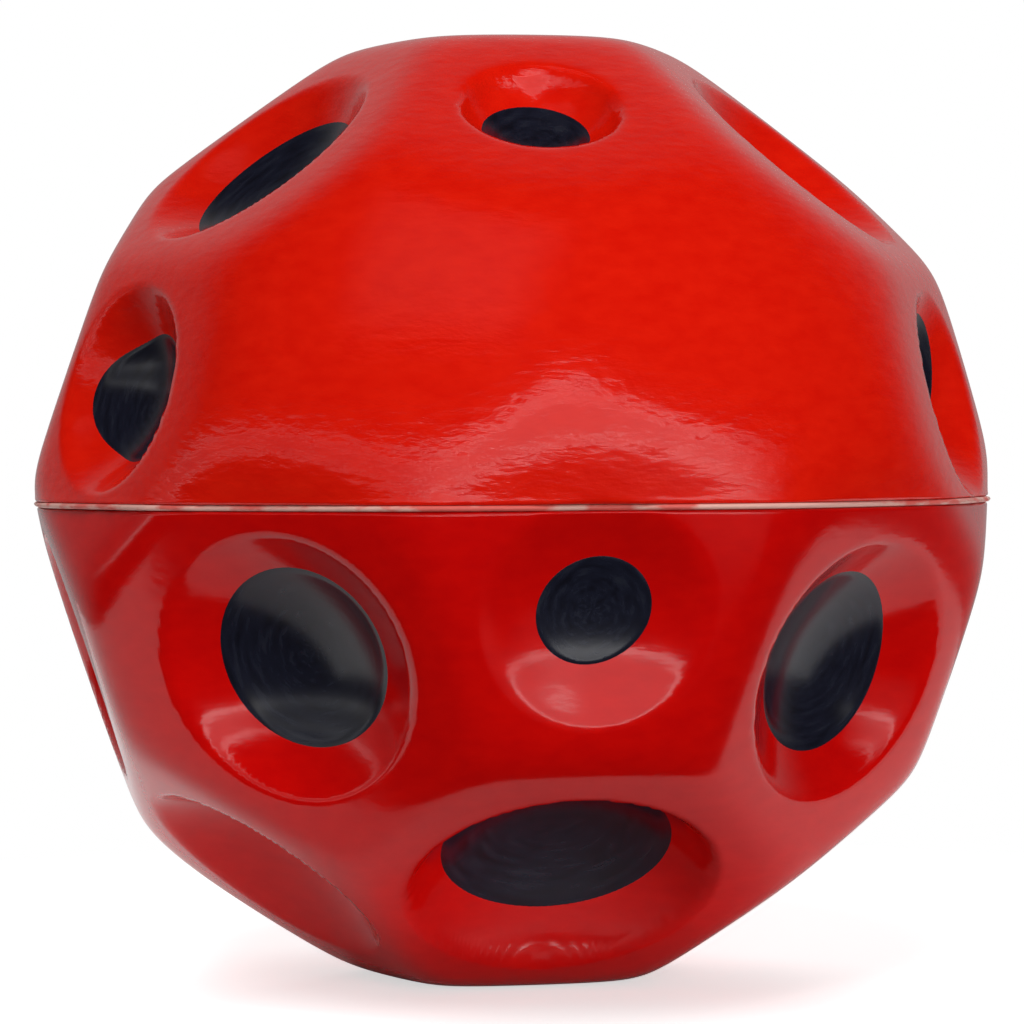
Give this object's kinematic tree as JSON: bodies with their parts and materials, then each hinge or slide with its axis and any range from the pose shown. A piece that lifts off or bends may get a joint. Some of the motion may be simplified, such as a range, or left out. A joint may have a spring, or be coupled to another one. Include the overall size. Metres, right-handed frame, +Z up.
{
  "type": "bouncy ball",
  "caption": "Cratered high-bounce ball: a glossy red skin in two moulded halves over a foam core, with dark lacquer on the crater floors and thin flash at the parting line.",
  "frame": {"origin": "centre of the ball", "axes": "+Z up, square to the parting line; the bare front panel faces -Y; +X to the right seen from the front"},
  "size_m": [0.0693, 0.0693, 0.0664],
  "materials": {
    "foam": "fine closed-cell foam",
    "upper_red": "glossy moulded skin with a fine orange peel",
    "lower_red": "glossy smooth moulded skin",
    "flash": "thin chipped web, matt",
    "dark_lacquer": "brushed-on dark blue-black lacquer, glossy"
  },
  "bodies": {
    "root": {"foam_core": "foam", "upper_skin": "upper_red", "lower_skin": "lower_red", "parting_flash": "flash", "top_coat": "dark_lacquer", "upper_front_coat": "dark_lacquer", "upper_left_coat": "dark_lacquer", "upper_right_coat": "dark_lacquer", "upper_back_left_coat": "dark_lacquer", "upper_back_right_coat": "dark_lacquer", "upper_back_coat": "dark_lacquer", "high_left_coat": "dark_lacquer", "high_right_coat": "dark_lacquer", "high_left_side_coat": "dark_lacquer", "high_right_side_coat": "dark_lacquer", "high_back_left_coat": "dark_lacquer", "high_back_right_coat": "dark_lacquer", "high_back_coat": "dark_lacquer", "low_front_coat": "dark_lacquer", "low_left_coat": "dark_lacquer", "low_right_coat": "dark_lacquer", "low_left_side_coat": "dark_lacquer", "low_right_side_coat": "dark_lacquer", "low_back_left_coat": "dark_lacquer", "low_back_right_coat": "dark_lacquer", "low_back_coat": "dark_lacquer", "under_front_coat": "dark_lacquer", "under_left_coat": "dark_lacquer", "under_right_coat": "dark_lacquer", "under_back_left_coat": "dark_lacquer", "under_back_right_coat": "dark_lacquer", "bottom_coat": "dark_lacquer"}
  },
  "joints": []
}
